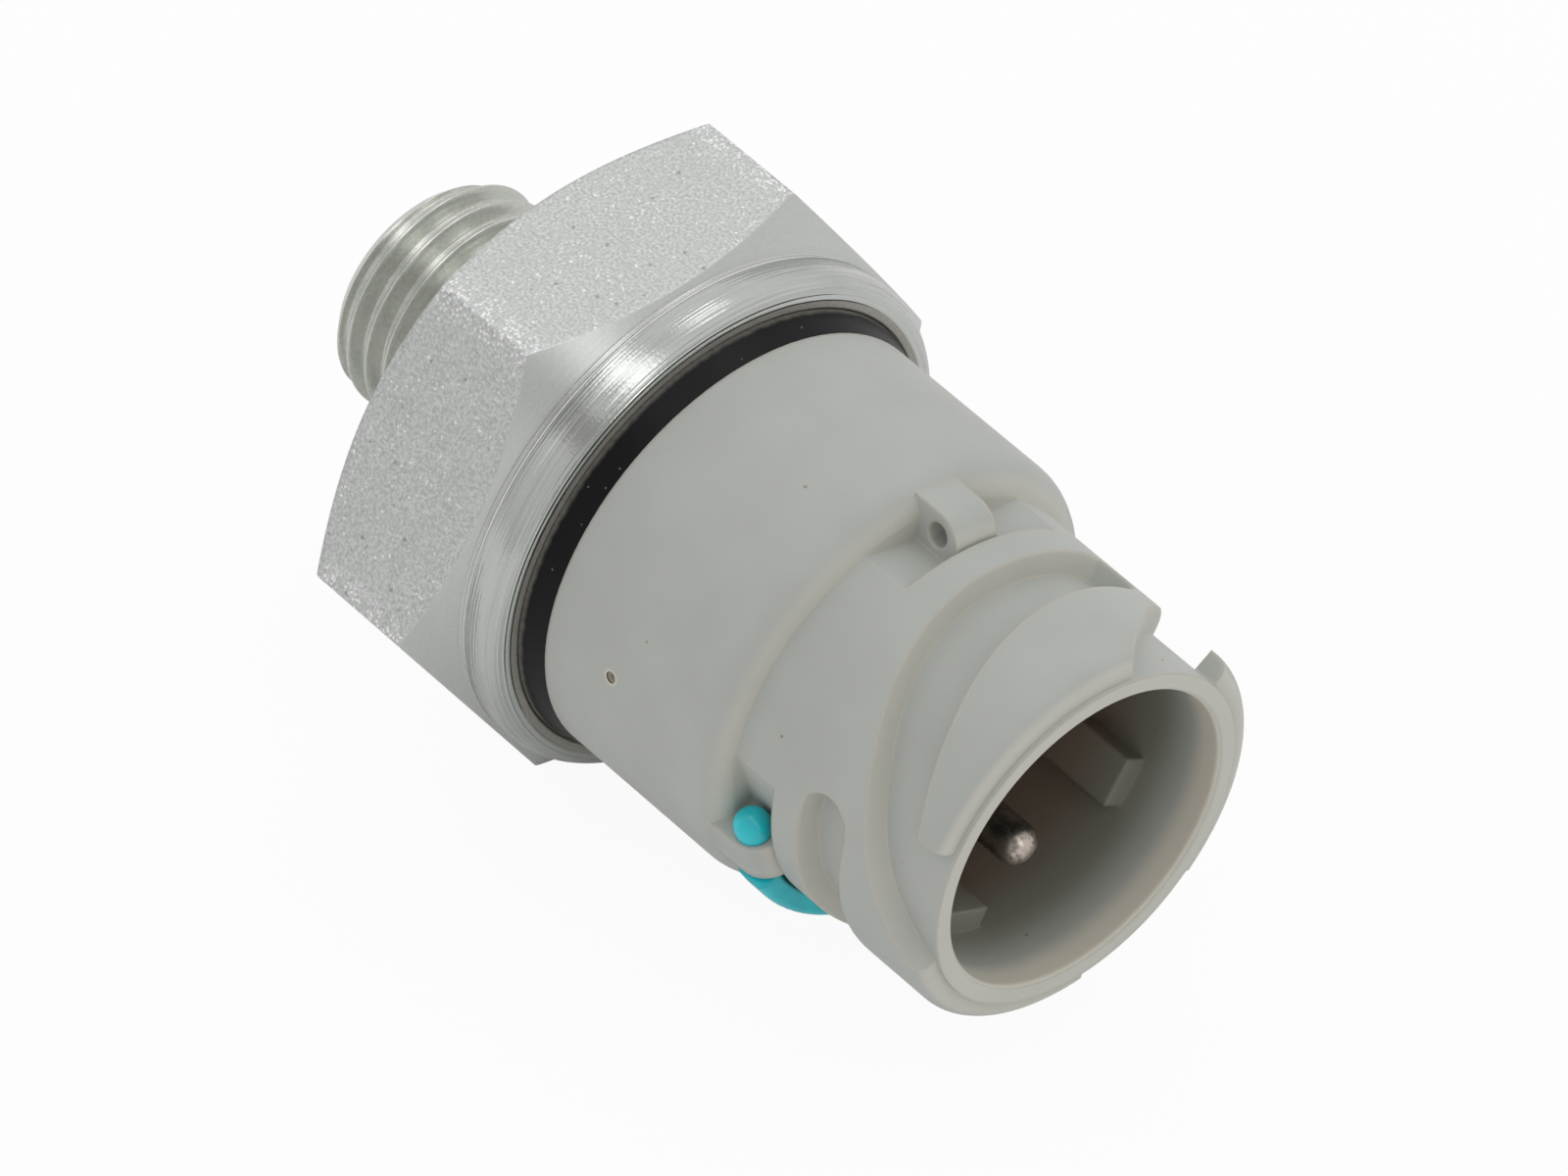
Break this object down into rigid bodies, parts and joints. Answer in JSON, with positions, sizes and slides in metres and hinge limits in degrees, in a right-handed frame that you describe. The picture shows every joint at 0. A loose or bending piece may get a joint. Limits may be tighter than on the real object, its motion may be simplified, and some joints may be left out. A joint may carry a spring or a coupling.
{
  "type": "oil pressure sender",
  "caption": "Threaded oil pressure sender: a steel hexagon body crimped over a grey moulded housing that ends in a round bayonet plug with contact pins and a colour clip.",
  "frame": {"origin": "on the sender's axis, in the face of the hexagon that seats on the engine", "axes": "+X along the axis, from the thread towards the plug mouth; +Z is the outward normal of the upper flat of the hexagon, and the sender lies on the opposite flat"},
  "size_m": [0.0545, 0.037, 0.032],
  "materials": {
    "plated_steel": "matt plated, blasted",
    "brass": "turned",
    "tinned_brass": "tinned, dull",
    "rubber": "matt",
    "white_plastic": "matt",
    "ceramic": "fired",
    "board": "lacquered",
    "chip": "matt",
    "grey_plastic": "fine moulded",
    "turquoise_plastic": "moulded"
  },
  "bodies": {
    "root": {"port_body": "plated_steel", "damping_plug": "brass", "cell_seal": "rubber", "backup_ring": "white_plastic", "pressure_cell": "ceramic", "clamp_ring": "white_plastic", "board_carrier": "white_plastic", "circuit_board": "board", "signal_chip": "chip", "board_capacitors": "ceramic", "cell_leads": "tinned_brass", "connector_housing": "grey_plastic", "housing_seal": "rubber", "colour_clip": "turquoise_plastic", "contact_pin_1": "tinned_brass", "contact_pin_2": "tinned_brass", "contact_pin_3": "tinned_brass", "contact_spring_1": "tinned_brass", "contact_spring_2": "tinned_brass", "contact_spring_3": "tinned_brass"}
  },
  "joints": []
}
